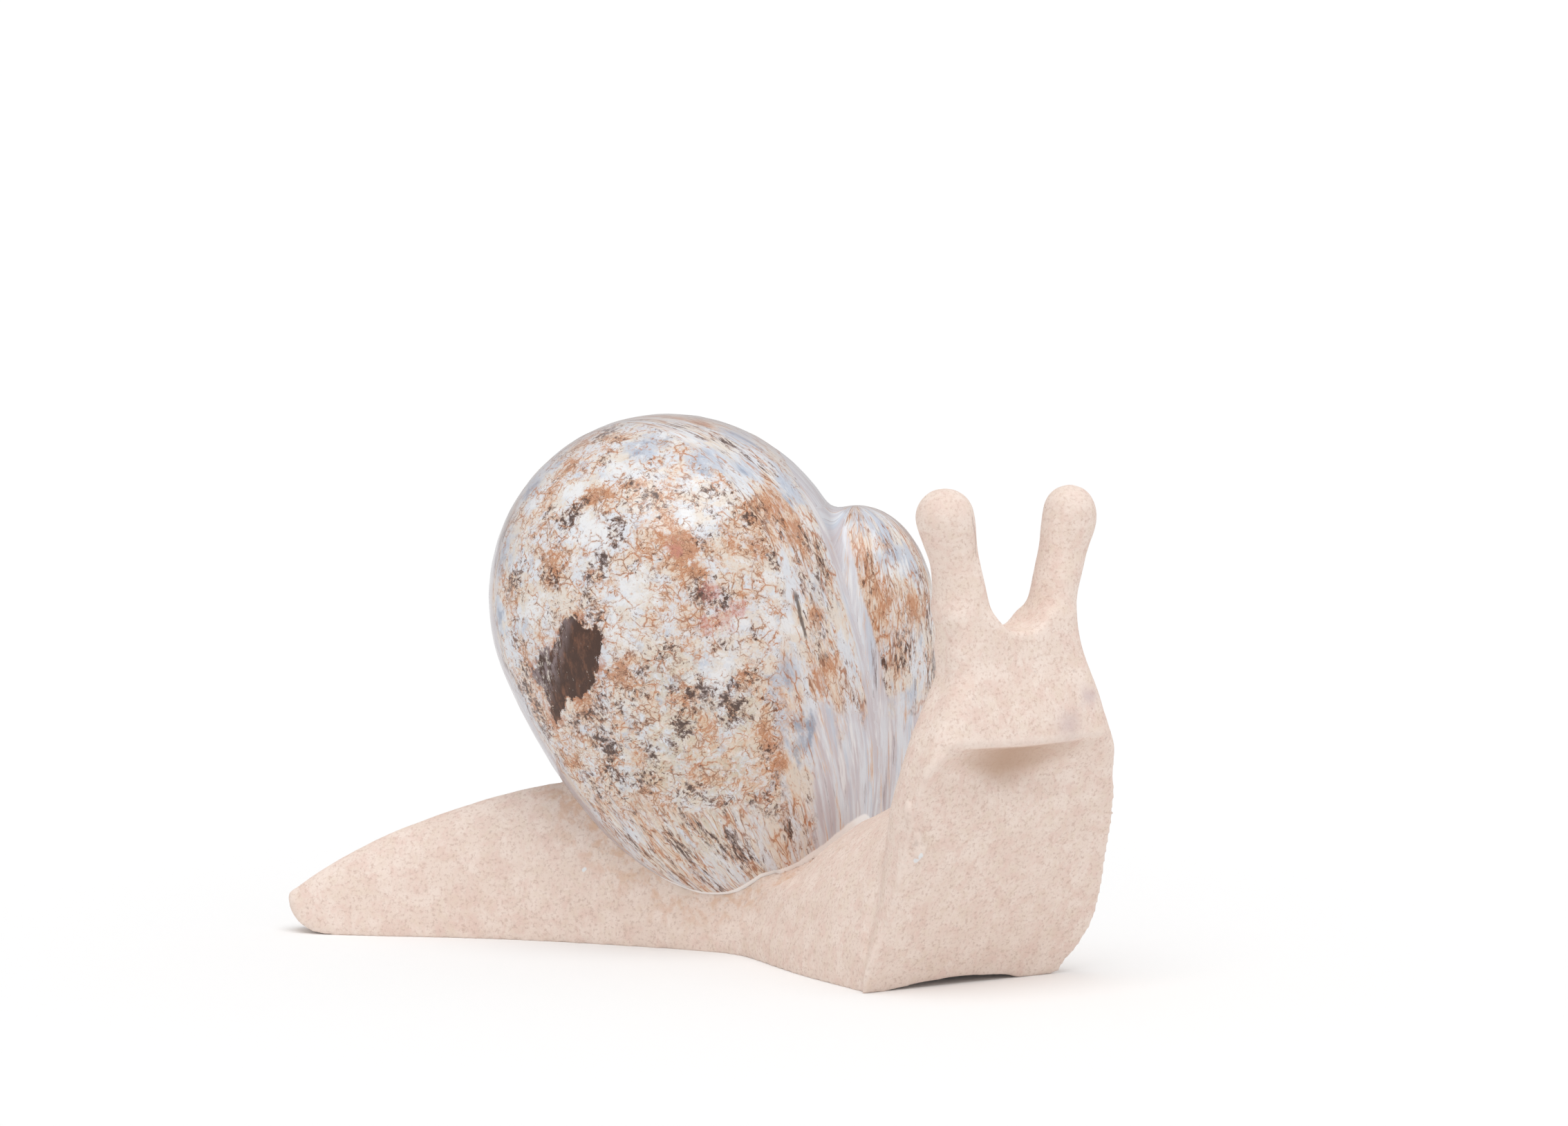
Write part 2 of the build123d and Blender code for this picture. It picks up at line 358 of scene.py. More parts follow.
def head_frame(points):
    """Points as seen from the head: ahead of the chest's foot, to its left, and up."""
    offset = points - (CHEST_FOOT + ROW_SHIFT)
    return np.stack([offset @ HEAD_AHEAD, offset @ HEAD_LEFT, points[:, 2]], axis=1)


def clay_skin(shell_surface):
    """One soft skin over the body and both stalks."""
    piece = new_object("clay", world_mesh("body", "left_eye_stalk", "right_eye_stalk"))
    remesh(piece, CLAY_VOXEL)
    points = points_of(piece)
    ahead, left, height = head_frame(points).T
    sole = fade(height, 1.5, 0.3)
    near_edge = fade(left, -11, -14) * band(ahead, CHEST_SLOPE * height, 4, 2)
    relax(piece, 0.5 * (1 - 0.8 * sole) * (1 - 0.9 * near_edge), 24, rebound=1.04)
    relax(piece, 0.5 * band(height, STALK_SEAT_HEIGHT, 6, 2), 12)
    neck = band(ahead, -6, 12, 5) * fade(height, 52, 40) * fade(height, 6, 14)
    far_brow = fade(left, 12, 16) * band(height, 43, 10, 5)
    off_shell = fade(np.abs(depth_in(shell_surface, points)), 1.5, 6)
    relax(piece, 0.5 * np.clip(neck * off_shell + far_brow * off_shell, 0, 1), 28)
    return piece


def sink_saddle(piece):
    """Lowers the slope that climbs from the shell to the back of the head."""
    points = points_of(piece)
    start, end = SADDLE
    along = end - start
    share = np.clip(((points[:, :2] - start) @ along) / (along @ along), 0, 1)
    aside = np.linalg.norm(points[:, :2] - start - share[:, None] * along, axis=1)
    points[:, 2] -= SADDLE_DROP * (1 - 0.3 * share) * fade(aside, 13, 2) * fade(points[:, 2], 12, 19)
    set_points(piece, points)


def sink_rim(piece, shell_surface):
    """Lowers the clay at the neck to the line at which the glaze ends there."""
    points = points_of(piece)
    front, left, height = points.T
    gap = np.maximum(depth_in(shell_surface, points), 0)
    level = np.interp(left, RIM_PLACES, RIM_LEVELS)
    cap = level + RIM_SLOPE * gap + RIM_CURVE * np.maximum(gap - RIM_FLAT, 0) ** 2
    near = fade(front, 4, 10) * fade(left, -9, -3) * fade(left, 24, 20)
    near *= fade(gap, 9, 6) * fade(height, 9, 12) * fade(height, 46, 42)
    points[:, 2] -= near * np.maximum(height - cap, 0)
    set_points(piece, points)
    relax(piece, 0.4 * near * fade(gap, 0.3, 1), 6)


def draw_out(piece):
    """What the hand that shaped it did: longer stalks, a wider fork and a fuller nape."""
    points = points_of(piece)
    ahead, left, height = head_frame(points).T
    points[:, 2] += STALK_RISE * fade(height, 69, 80)
    aside = left - FORK_ASIDE
    between = fade(np.abs(aside), 9, 4) * fade(aside, 0, np.where(aside > 0, 0.8, -0.8))
    parted = between * np.sign(aside) * fade(height, 63, 67) * fade(height, 84, 71)
    points[:, 2] -= FORK_SINK * band(aside, 0, 4.5, 1.5) * fade(height, 62, 66) * fade(height, 74, 70)
    far_stalk = fade(left, 9, 13) * band(height, 77, 8, 2)
    near = fade(left, -5, -9)
    near_root = near * band(height, 63.5, 8, 2)
    nape = near * fade(ahead, 12, 4) * band(height, 47, 15, 4)
    far_corner = fade(left, 9, 17) * fade(height, 11, 0) * fade(ahead, -14, -4)
    shift = FORK_PART * parted + FAR_STALK_SHIFT * far_stalk + NAPE_SHIFT * nape
    shift = shift - NEAR_ROOT_SHIFT * near_root - FAR_CORNER_SHIFT * far_corner
    set_points(piece, points + HEAD_LEFT * shift[:, None])
    relax(piece, 0.4 * band(aside, 0, 9, 6) * band(height, 69, 7, 4), 12)


def above_brow(left, height, spread):
    """How near the middle of the brow each point is, and how far above its ledge."""
    middle = np.exp(-(((left - BROW_MIDDLE) / spread) ** 2))
    return middle, height - (BROW_HEIGHT - BROW_SAG * middle)


def shape_brow(piece):
    """The forehead swells out over the chest, most in its middle, with a hollow below."""
    points = points_of(piece)
    ahead, left, height = head_frame(points).T
    front = fade(ahead, 9, 14) * band(left, 0.5, 19, 14)
    middle, above = above_brow(left, height, BROW_SPREAD)
    swell = (0.4 + 1.3 * middle) * fade(above, -0.6, 0.4) * fade(above, 15, 2)
    hollow = (0.6 + 2.4 * middle) * fade(above, 0.2, -1.2) * fade(above, -13, -3)
    set_points(piece, points + HEAD_AHEAD * (front * (swell - hollow))[:, None])
    relax(piece, 0.3 * front * band(above, 0, 5, 2), 2)


def brow_shade(points):
    """1 in the hollow under the brow, where the clay's colour is darkened as painted shade."""
    ahead, left, height = head_frame(points).T
    middle, above = above_brow(left, height, SHADE_SPREAD)
    # painted shade: reaches lower under the middle of the brow, where the real shadow is deepest
    low = -3.5 - 5.5 * middle
    front = fade(ahead, 9, 14) * band(left, 0.5, 17, 10)
    return front * (0.2 + 0.8 * middle) * fade(above, 0.3, -0.7) * fade(above, low, 0.4 * low)


def rough_up(piece):
    """Dents and swells that fingers and a sponge leave, and smears along the chest's edge."""
    points = points_of(piece)
    surface = surface_of(piece)
    relief = sum(height * wobble(points, size, seed) for height, size, seed in CLAY_WAVES)
    relief *= fade(points[:, 2], 0.2, 3)
    ragged = 1 + LUMP_RAGGEDNESS * wobble(points, 0.9, 4)
    for *place, reach, height in SEAM_LUMPS:
        away = np.linalg.norm((points - snapped(place, surface)) * (1, 1, 0.7), axis=1) * ragged
        relief += height * fade(away, reach, 0.6 * reach)
    points = points + normals_of(piece) * relief[:, None]
    points[:, 2] = np.maximum(points[:, 2], 0)
    set_points(piece, points)


def press_rim(piece, shell_surface):
    """Presses the upper rim of the shell's seat against the glaze all round."""
    points = points_of(piece)
    normals = normals_of(piece)
    for index in np.nonzero((points[:, 2] < SEAT_HIGH) & (points[:, 2] > SEAT_LOW))[0]:
        place = Vector(points[index] * MM)
        nearest, outward, _, away = shell_surface.find_nearest(place, PRESS_SEARCH * MM)
        if nearest is None or (place - nearest).dot(outward) < 0:
            continue
        facing = -Vector(normals[index]).dot(outward)
        press = np.clip((facing - PRESS_FACING) / PRESS_FACING_SOFT, 0, 1)
        press *= np.clip((PRESS_NEAR - away / MM) / PRESS_NEAR_SOFT, 0, 1)
        points[index] += (np.array(nearest) / MM - points[index]) * press
    set_points(piece, points)


def cut_level(piece, height, upper):
    """The part of the piece above or below a level, closed with a flat face."""
    mesh = bmesh.new()
    mesh.from_mesh(piece.data)
    geometry = mesh.verts[:] + mesh.edges[:] + mesh.faces[:]
    level = Vector((0, 0, height * MM))
    cut = bmesh.ops.bisect_plane(
        mesh, geom=geometry, plane_co=level, plane_no=(0, 0, 1), clear_inner=upper, clear_outer=not upper
    )
    rim = [item for item in cut["geom_cut"] if isinstance(item, bmesh.types.BMEdge)]
    bmesh.ops.triangle_fill(mesh, use_beauty=True, edges=rim)
    return mesh


def one_side(mesh, left):
    """A copy of a bmesh with only the islands on the head's left or right."""
    copy = mesh.copy()
    for island in islands_of(copy):
        middle = np.mean([vertex.co for vertex in island], axis=0) / MM
        if (head_frame(middle[None])[0, 1] > 0) != left:
            bmesh.ops.delete(copy, geom=island, context="VERTS")
    return copy


def tidy_normals(mesh):
    """The same bmesh, with all its faces turned outwards."""
    bmesh.ops.recalc_face_normals(mesh, faces=mesh.faces)
    return mesh


def part_clay(skin):
    """The skin parted into head and foot, left stalk and right stalk."""
    level = STALK_SEAT_HEIGHT + 1
    below = cut_level(skin, level, upper=False)
    above = cut_level(skin, level, upper=True)
    pieces = [
        new_object("clay_body", tidy_normals(below)),
        new_object("clay_left_stalk", tidy_normals(one_side(above, True))),
        new_object("clay_right_stalk", tidy_normals(one_side(above, False))),
    ]
    above.free()
    return pieces


def nearest_of(skin, pieces, values):
    """The skin's values at the points of each piece."""
    tree = KDTree(len(values))
    for index, vertex in enumerate(skin.data.vertices):
        tree.insert(vertex.co, index)
    tree.balance()
    return [values[[tree.find(vertex.co)[1] for vertex in piece.data.vertices]] for piece in pieces]


def edge_wear(piece):
    """Above 0 on worn outer edges and below 0 in hollows."""
    points = points_of(piece)
    spread = points
    for _ in range(WEAR_ROUNDS):
        spread = neighbour_means(piece, spread)
    return np.einsum("ij,ij->i", points - spread, normals_of(piece))


def dress_clay(pieces, skin, skin_surface, glaze_surface):
    """Stores wear, stains, chips and the painted shade under the brow on each piece of clay, and the
    joined skin's normals.
    """
    wear = nearest_of(skin, pieces, edge_wear(skin))
    normals = nearest_of(skin, pieces, normals_of(skin))
    chips = [(*snapped(place, skin_surface), reach) for *place, reach in SEAM_CHIPS]
    for piece, worn, normal in zip(pieces, wear, normals):
        shade_smooth(piece)
        points = points_of(piece)
        pushed = points + 0.9 * np.stack([wobble(points, 2, 41)] * 3, axis=1)
        near_shell = np.abs(depth_in(glaze_surface, points))
        store(piece, "wear", worn)
        # painted shade: where the clay is darkened under the brow
        store(piece, "shade", brow_shade(points))
        store(piece, "chip", blobs(points, chips))
        store(piece, "smudge", blobs(pushed, SMUDGES))
        store(piece, "flush", fade(near_shell, 9, 1) * fade(points[:, 2], 40, 30))
        piece.data.normals_split_custom_set_from_vertices(normal.tolist())


# The glaze: a thin skin of glass over what shows of both lobes

GLAZE_VOXEL = 0.7
BURIED_DEPTH = 0.5
GLAZE_LOW = 8

# The coat is a little thinner than the room that it has over the shell
COAT_SHARE = 0.9

# Where the lowered clay at the neck leaves the shell bare: from front to back, and right to left
NECK_FRONT, NECK_RIGHT, NECK_LEFT = 12, -2, 19
RIM_OVERLAP = 0.5

# How far the glaze ran: drawn out, and in long streaks
DRAWN, RAN = 0.47, 0.9

# The small lobe's places are moved this far, so that its marks aren't those of the big one
FLOW_APART = 50

# Beyond this the runs follow their own rule: the small lobe, and the big one's face towards it
FLOW_FRONT = 25

# Waves of the glaze: height, size and seed
GLAZE_WAVES = ((0.07, 4, 32), (0.03, 1.9, 33))
RIM_WIDTH, POOL_WIDTH, RIM_WOBBLE = 0.9, 3.2, 0.35


def glaze_skin():
    """The outer face of the whole shell, glazed or not, with its vent closed."""
    mesh = world_mesh("glaze_coat", "shell")
    plug = Matrix.Translation(Vector((VENT + ROW_SHIFT) * MM))
    bmesh.ops.create_icosphere(mesh, subdivisions=3, radius=VENT_PLUG_RADIUS * MM, matrix=plug)
    piece = new_object("glaze", mesh)
    remesh(piece, GLAZE_VOXEL)
    relax(piece, np.full(len(piece.data.vertices), 0.5), 12)
    return piece


def lift_off(points, normals, bare):
    """Gives the glaze its thickness where the lowered clay lays the shell bare."""
    shell = new_object("bare_shell", world_mesh("shell"))
    short = GLAZE_THICKNESS - depth_in(surface_of(shell), points)
    bpy.data.objects.remove(shell)
    return points + normals * (bare * np.clip(short, 0, GLAZE_THICKNESS))[:, None]


def open_glaze(piece, skin_surface):
    """Leaves out the glaze where the clay hides it."""
    points = points_of(piece)
    normals = normals_of(piece)
    away = np.abs(depth_in(skin_surface, points))
    front, left, height = points.T
    level = np.interp(left, RIM_PLACES, RIM_LEVELS) - RIM_OVERLAP
    bare = (front > NECK_FRONT) & (left > NECK_RIGHT) & (left < NECK_LEFT) & (height > level)
    points = lift_off(points, normals, bare)
    set_points(piece, points)
    mesh = bmesh.new()
    mesh.from_mesh(piece.data)
    hidden = []
    for vertex, place, normal, distance, free in zip(mesh.verts, points, normals, away, bare):
        _, met, _, _ = skin_surface.ray_cast(Vector(place * MM), Vector(normal))
        buried = met is not None and met.dot(Vector(normal)) > 0 and distance > BURIED_DEPTH
        if (buried and not free) or place[2] < GLAZE_LOW:
            hidden.append(vertex)
    bmesh.ops.delete(mesh, geom=hidden, context="VERTS")
    keep_largest(mesh)
    mesh.to_mesh(piece.data)
    mesh.free()


def lobe_frame(points, centre, tilt):
    """Points as seen from a lobe: its long axis is the third one."""
    turn = Matrix.Rotation(SHELL_TURN, 3, "Z") @ Matrix.Rotation(tilt, 3, "Y")
    return (points - (centre + ROW_SHIFT)) @ np.array(turn)


def beyond_lobe(local, radius, reach):
    """How far outside an egg of that radius and half length each place is, across its axis."""
    across = np.linalg.norm(local[:, :2], axis=1)
    return across - radius * np.sqrt(np.clip(1 - (local[:, 2] / reach) ** 2, 0, 1))


def laid_round(local, radius):
    """Places drawn in to one radius round a lobe's axis, so that marks run along it."""
    angle = np.arctan2(local[:, 1], local[:, 0])
    return np.stack([radius * np.cos(angle), radius * np.sin(angle), local[:, 2]], axis=1)


def glaze_flow(points):
    """Places in a frame that follows how the glaze ran, and how far the other lobe is."""
    big = lobe_frame(points, BIG_CENTRE, BIG_TILT)
    small = lobe_frame(points, SMALL_CENTRE, SMALL_TILT)
    from_big = beyond_lobe(big, BIG_RADIUS, BIG_REACH)
    from_small = beyond_lobe(small, SMALL_RADIUS, SMALL_REACH)
    on_small = (from_small < from_big) & (small[:, 2] < SMALL_CROWN)
    round_small = laid_round(small, 1.4 * SMALL_RADIUS) + FLOW_APART
    flow = np.where(on_small[:, None], round_small, laid_round(big, BIG_RADIUS))
    return flow, np.where(on_small, from_big, from_small)


def photo_places(points):
    """Places to the right and up as the photo looks."""
    return np.stack([points @ (math.cos(VIEW_TURN), math.sin(VIEW_TURN), 0), points[:, 2]], axis=1)


def inside_outline(places, outline):
    """How deep each place lies inside a closed outline; below 0 is outside."""
    corners = np.array(outline)
    nearest = np.full(len(places), 1e9)
    crossings = np.zeros(len(places), dtype=int)
    for start, end in zip(corners, np.roll(corners, -1, axis=0)):
        along = end - start
        share = np.clip(((places - start) @ along) / (along @ along), 0, 1)
        nearest = np.minimum(nearest, np.linalg.norm(places - start - share[:, None] * along, axis=1))
        spans = (places[:, 1] > start[1]) != (places[:, 1] > end[1])
        level = (places[:, 1] - start[1]) / (along[1] if along[1] else 1e-9)
        crossings += spans & (places[:, 0] < start[0] + level * along[0])
    return np.where(crossings % 2 == 1, nearest, -nearest)


def run_share(points, facing):
    """How far the glaze ran at each point: 0 is a still mosaic, and RAN is long streaks."""
    flow, crease = glaze_flow(points)
    right, height = photo_places(points).T
    pulled = [
        RAN * fade(crease, 11, 2),
        DRAWN * fade(right, 6, 14) * fade(height, 88, 74),
        RAN * fade(right, 12, 19) * fade(height, 56, 42),
        DRAWN * fade(height, 36, 22),
        0.8 * fade(facing, 0.45, 0.2) * fade(facing, -0.55, -0.25) * fade(height, 92, 70),
    ]
    front = np.maximum(0.46 + 0.4 * fade(height, 52, 36), RAN * fade(crease, 3.5, 1))
    return flow, np.where(flow[:, 0] > FLOW_FRONT, front, np.max(pulled, axis=0))


def painted_reflection_share(points, facing):
    """1 where the shell turns away from the side the camera looks from, at the tail and at the top, where
    a mauve grey reflection of darker surroundings is painted into the glaze.
    """
    tail = fade(facing, 0.42, 0.12) * fade(points[:, 0], 5, -12)
    top = fade(facing, 0.6, 0.1) * fade(points[:, 2], 60, 72)
    return np.maximum(tail, top) * fade(facing, -0.35, -0.05)


def store_patch(piece, points, facing):
    """Stores how deep in the bare patch each point is, and where the patch runs out."""
    places = photo_places(points)
    store(piece, "patch", np.where(facing > 0, inside_outline(places, PATCH_OUTLINE), -9))
    store(piece, "patch_tail", fade(places[:, 0] - 0.25 * places[:, 1], -41, -44.5))


def store_rim(piece, points, skin_surface):
    """Stores the white rim at which the glaze meets the clay, widest in the pools."""
    outside = np.abs(depth_in(skin_surface, points))
    width = RIM_WIDTH + POOL_WIDTH * blobs(points, POOLS) + RIM_WOBBLE * wobble(points, 5, 31)
    store(piece, "rim", fade(outside, width + 0.5, 0.45 * width))


def dress_glaze(piece, skin_surface):
    """Stores where the glaze clouds, rusts, runs and pools, and where a reflection is painted on its
    turned-away faces, and gives it faint waves.
    """
    points = points_of(piece)
    normals = normals_of(piece)
    facing = normals @ PHOTO_SIDE
    warp = np.stack([wobble(points, 6, seed) for seed in (11, 12, 13)], axis=1)
    loose = points + 1.3 * warp
    back = fade(facing, 0.05, -0.2)
    for name, marks, seed in GLAZE_FIELDS:
        scattered = fade(wobble(points, 14, seed), 0.0, 0.35)
        store(piece, name, np.maximum(blobs(loose, marks), back * scattered))
    flow, ran = run_share(points, facing)
    store(piece, "flow", flow)
    store(piece, "streak", ran)
    # painted reflection: mauve grey on faces that turn away from the view
    store(piece, "painted_limb_reflection", painted_reflection_share(points, facing))
    store(piece, "white", blobs(loose, WHITE_CLOUDS))
    store(piece, "heat", fade(points[:, 2], 40, 56))
    store(piece, "pink", blobs(points + 0.8 * warp, PINK_SPOTS))
    store_patch(piece, points, facing)
    store_rim(piece, points, skin_surface)
    relief = sum(height * wobble(points, size, seed) for height, size, seed in GLAZE_WAVES)
    set_points(piece, points + normals * relief[:, None])


def thicken(piece, thickness):
    """Closes an open skin into a coat of even thickness, grown inwards."""
    modifier = piece.modifiers.new("coat", "SOLIDIFY")
    modifier.thickness = thickness * MM
    modifier.offset = -1
    apply_modifiers(piece)


# Materials

def srgb(red, green, blue):
    """A colour given in the usual 0 to 255 steps, as Blender's linear values."""
    steps = [value / 255 for value in (red, green, blue)]
    curve = [step / 12.92 if step < 0.04045 else ((step + 0.055) / 1.055) ** 2.4 for step in steps]
    return (*curve, 1)


CREAM = srgb(228, 218, 207)
COOL_WHITE = srgb(222, 225, 231)
PEARL = srgb(235, 235, 236)
POOL_WHITE = srgb(253, 253, 253)
GREY_BLUE = srgb(193, 201, 215)
SLATE = srgb(146, 156, 176)
LILAC = srgb(204, 195, 199)
SAND = srgb(205, 191, 166)
PALE_ORANGE = srgb(222, 184, 152)
RUST = srgb(184, 118, 78)
DEEP_RUST = srgb(136, 90, 66)
DARK_BROWN = srgb(70, 50, 42)
CHOCOLATE = srgb(72, 46, 34)
MAUVE = srgb(150, 134, 136)
PINK = srgb(203, 134, 122)

CLAY_LIGHT = srgb(241, 224, 213)
CLAY_MIDDLE = srgb(236, 217, 205)
CLAY_PINK = srgb(230, 202, 190)
CLAY_BEIGE = srgb(231, 212, 195)
CLAY_SPECK = srgb(199, 171, 157)
CLAY_DOT = srgb(172, 148, 141)
# painted shade: the dark brown laid into the hollow under the brow
CLAY_SHADE = srgb(186, 153, 130)
CLAY_SMUDGE = srgb(196, 176, 178)

# How much marks are drawn out: in glaze half run and fully run, in the bare patch, at its torn
# edge, and in clay that a sponge dragged
DRAWN_STRETCH = (1, 1, 0.42)
RAN_STRETCH = (1, 1, 0.13)
PATCH_STRETCH = (1, 1, 0.4)
TORN_STRETCH = (1, 1, 0.6)
DRAG_STRETCH = (1, 1, 0.16)

# The rusty web: size of its cells, width of its threads, shift of its noise, and where it shows
WEB = ((2.6, 0.06, 47, 0.66), (1.5, 0.065, 91, 0.69), (0.9, 0.08, 29, 0.71))


class Shades:
    """One material, with short names for the nodes that it is built from."""

    def __init__(self, name):
        self.material = bpy.data.materials.new(name)
        self.material.use_nodes = True
        self.tree = self.material.node_tree
        self.shader = self.tree.nodes["Principled BSDF"]
        self.place = self.scaled(self.add("ShaderNodeTexCoord").outputs["Object"], (1000, 1000, 1000))

    def add(self, kind, inputs=None, **settings):
        """A new node with these settings and inputs."""
        node = self.tree.nodes.new(kind)
        for name, value in settings.items():
            setattr(node, name, value)
        for key, value in (inputs or {}).items():
            self.feed(node.inputs[key], value)
        return node

    def feed(self, socket, value):
        """Links a socket to another one, or sets it to a plain value."""
        if isinstance(value, bpy.types.NodeSocket):
            self.tree.links.new(value, socket)
        else:
            socket.default_value = value

    def math(self, operation, first, second=0.0):
        """A sum or the like of two numbers."""
        return self.add("ShaderNodeMath", {0: first, 1: second}, operation=operation).outputs[0]

    def plus(self, first, second):
        return self.math("ADD", first, second)

    def minus(self, first, second):
        return self.math("SUBTRACT", first, second)

    def times(self, first, second):
        return self.math("MULTIPLY", first, second)

    def size_of(self, value):
        return self.math("ABSOLUTE", value)

    def vector(self, operation, first, second, output="Vector"):
        """A sum or the like of two vectors."""
        return self.add("ShaderNodeVectorMath", {0: first, 1: second}, operation=operation).outputs[output]

    def scaled(self, place, factors):
        return self.vector("MULTIPLY", place, factors)

    def moved(self, place, shift):
        """The place moved far along one slanting line, where noise has other values."""
        return self.vector("ADD", place, (shift, 0.7 * shift, -0.4 * shift))

    def dot(self, first, second):
        return self.vector("DOT_PRODUCT", first, second, "Value")

    def attribute(self, name, kind="Fac"):
        """What was stored on the mesh under that name."""
        return self.add("ShaderNodeAttribute", attribute_name=name).outputs[kind]

    def noise(self, place, size, detail=6.0, rough=0.55, shift=0, kind="Fac"):
        """Cloudy noise with lumps of that size in millimetres."""
        place = self.moved(place, shift) if shift else place
        inputs = {"Vector": place, "Scale": 1 / size, "Detail": detail, "Roughness": rough}
        return self.add("ShaderNodeTexNoise", inputs).outputs[kind]

    def cells(self, place, size, feature="DISTANCE_TO_EDGE", kind="Distance"):
        """Cells of that size in millimetres."""
        inputs = {"Vector": place, "Scale": 1 / size}
        return self.add("ShaderNodeTexVoronoi", inputs, feature=feature).outputs[kind]

    def step(self, value, start, end):
        """0 up to start and 1 from end on, smooth between."""
        inputs = {"Value": value, "From Min": start, "From Max": end}
        return self.add("ShaderNodeMapRange", inputs, interpolation_type="SMOOTHSTEP").outputs["Result"]

    def blend(self, share, first, second):
        """The first colour where the share is 0, the second where it is 1."""
        return self.add("ShaderNodeMix", {0: share, 6: first, 7: second}, data_type="RGBA").outputs[2]

    def wash(self, colour, other, share, strength):
        """The colour with a thin layer of another one over it, where the share says so."""
        return self.blend(self.times(share, strength), colour, other)

    def tint(self, colour, other, value, start, end, strength):
        """The same, where a value passes from start to end."""
        return self.wash(colour, other, self.step(value, start, end), strength)

    def warp(self, place, size, amount):
        """The place pushed about by noise of that size, by about that many millimetres."""
        push = self.noise(place, size, detail=2.0, rough=0.5, kind="Color")
        centred = self.vector("SUBTRACT", push, (0.5, 0.5, 0.5))
        return self.vector("ADD", place, self.scaled(centred, (amount, amount, amount)))

    def line(self, mark, width):
        """1 on a straight line between two places on the surface, 0 beyond that width."""
        start, end = mark
        along = (end - start).normalized()
        across = along.cross(Vector(PHOTO_SIDE)).normalized()
        reach = (end - start).length / 2
        bent = self.warp(self.place, size=3.0, amount=0.9)
        offset = self.vector("SUBTRACT", bent, tuple((start + end) / 2))
        aside = self.size_of(self.dot(offset, tuple(across)))
        far = self.size_of(self.dot(offset, tuple(along)))
        near = self.step(self.size_of(self.dot(offset, tuple(PHOTO_SIDE))), 5.0, 4.0)
        on_line = self.times(self.step(aside, width, 0.3 * width), self.step(far, reach, 0.7 * reach))
        return self.times(on_line, near)

    def bump(self, height, strength, distance):
        """Fine relief on the shader, with its depth in millimetres."""
        inputs = {"Strength": strength, "Distance": distance * MM, "Height": height}
        self.feed(self.shader.inputs["Normal"], self.add("ShaderNodeBump", inputs).outputs[0])


def pale_ground(m, loose, marks):
    """Cream and cool white, with sandy fields and clouds of grey blue."""
    tone = m.noise(loose, size=4.5, rough=0.65)
    tone = m.plus(tone, m.times(m.cells(loose, 1.5, "F1", "Color"), 0.16))
    colour = m.blend(m.step(tone, 0.5, 0.66), CREAM, COOL_WHITE)
    grains = m.step(m.noise(loose, size=1.4, detail=5.0, rough=0.65, shift=12), 0.36, 0.62)
    colour = m.wash(colour, SAND, m.times(marks["sand"], grains), strength=0.8)
    cloud = m.noise(loose, size=5.5, rough=0.6, shift=31)
    cloud = m.plus(cloud, m.times(marks["cloud"], 0.24))
    colour = m.tint(colour, GREY_BLUE, cloud, 0.55, 0.72, strength=0.85)
    deep = m.noise(loose, size=3.4, rough=0.64, shift=57)
    deep = m.plus(deep, m.times(marks["cloud"], 0.14))
    return m.tint(colour, SLATE, deep, 0.59, 0.76, strength=0.8)


def rusty_field(m, place, marks):
    """High where the glaze turns rusty, low in its clouds and white islands."""
    field = m.noise(place, size=7.0, detail=4.0, rough=0.6, shift=73)
    field = m.plus(field, m.times(marks["rust"], 0.2))
    return m.minus(field, m.times(marks["cool"], 0.18))


def rusty_grains(m, loose, field, colour):
    """Fine grains of rust in the rusty fields."""
    grain = m.noise(loose, size=1.0, rough=0.75, shift=19)
    grain = m.minus(m.plus(field, m.times(grain, 0.9)), 0.05)
    colour = m.tint(colour, PALE_ORANGE, grain, 0.86, 1.06, strength=0.7)
    return m.tint(colour, RUST, grain, 1.0, 1.12, strength=0.8)


def rusty_web(m, place, loose, field, colour):
    """Threads of rust round cells of three sizes, with a paler halo."""
    depth = m.noise(place, size=3.0, detail=4.0, rough=0.6, shift=17)
    ink = m.blend(m.step(depth, 0.42, 0.62), RUST, DEEP_RUST)
    for size, width, shift, level in WEB:
        edge = m.cells(m.moved(loose, shift), size)
        near = m.noise(place, size=1.6 * size, detail=5.0, rough=0.65, shift=shift + 5)
        shown = m.step(m.plus(near, m.times(field, 0.35)), level - 0.04, level + 0.1)
        halo = m.times(m.step(edge, 2.6 * width, 0.3 * width), shown)
        core = m.times(m.step(edge, width, 0.2 * width), shown)
        colour = m.wash(colour, PALE_ORANGE, halo, strength=0.45)
        colour = m.wash(colour, ink, core, strength=0.85)
    return colour


def dark_knots(m, place, loose, marks, colour):
    """Knots of dark specks, kept out of the clouds."""
    cluster = m.plus(m.noise(place, size=5.5, detail=3.0, shift=66), m.times(marks["dark"], 0.15))
    cluster = m.minus(cluster, m.times(marks["cool"], 0.2))
    speck = m.noise(loose, size=0.9, rough=0.76, shift=88)
    speck = m.plus(speck, m.times(cluster, 0.6))
    colour = m.tint(colour, DEEP_RUST, speck, 0.83, 0.9, strength=0.6)
    return m.tint(colour, DARK_BROWN, speck, 0.88, 0.96, strength=0.9)


def mosaic(m, place, marks):
    """Soft islands of white and cream in a broken web of rusty threads, with dark knots."""
    loose = m.warp(m.warp(place, size=4.0, amount=2.2), size=0.9, amount=0.9)
    field = rusty_field(m, place, marks)
    colour = rusty_grains(m, loose, field, pale_ground(m, loose, marks))
    island = m.noise(loose, size=2.4, rough=0.68, shift=21)
    island = m.plus(island, m.times(marks["white"], 0.2))
    colour = m.tint(colour, PEARL, island, 0.54, 0.7, strength=0.85)
    colour = rusty_web(m, place, loose, field, colour)
    colour = dark_knots(m, place, loose, marks, colour)
    fine = m.noise(place, size=0.45, detail=3.0, rough=0.7, shift=39)
    return m.tint(colour, MAUVE, fine, 0.5, 0.8, strength=0.3)


